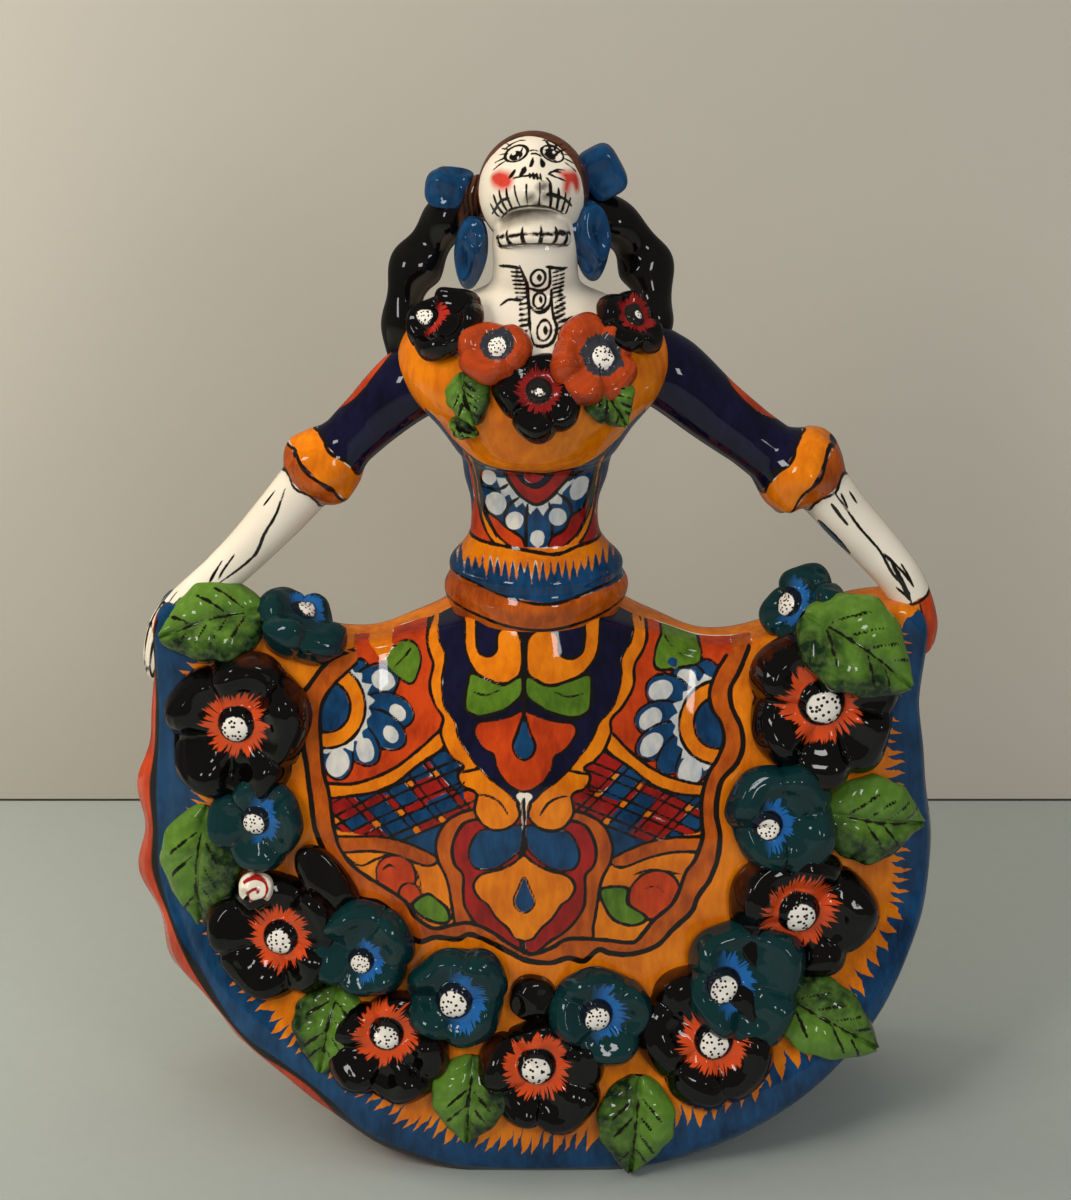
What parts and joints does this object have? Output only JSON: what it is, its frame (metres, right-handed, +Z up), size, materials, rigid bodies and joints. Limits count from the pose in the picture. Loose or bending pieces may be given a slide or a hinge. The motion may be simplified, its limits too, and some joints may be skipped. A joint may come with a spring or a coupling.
{
  "type": "day of the dead skeleton figure",
  "caption": "Glazed earthenware skeleton lady leaning back and spreading a fan skirt trimmed with flowers and leaves.",
  "frame": {"origin": "middle of the flat underside that the skirt stands on", "axes": "+Z up to the crown of the head, -Y the way she faces, +X to her left hand"},
  "size_m": [0.2608, 0.1155, 0.3291],
  "materials": {
    "painted_glaze": "gloss"
  },
  "bodies": {
    "root": {"skeleton_figure": "painted_glaze"}
  },
  "joints": []
}
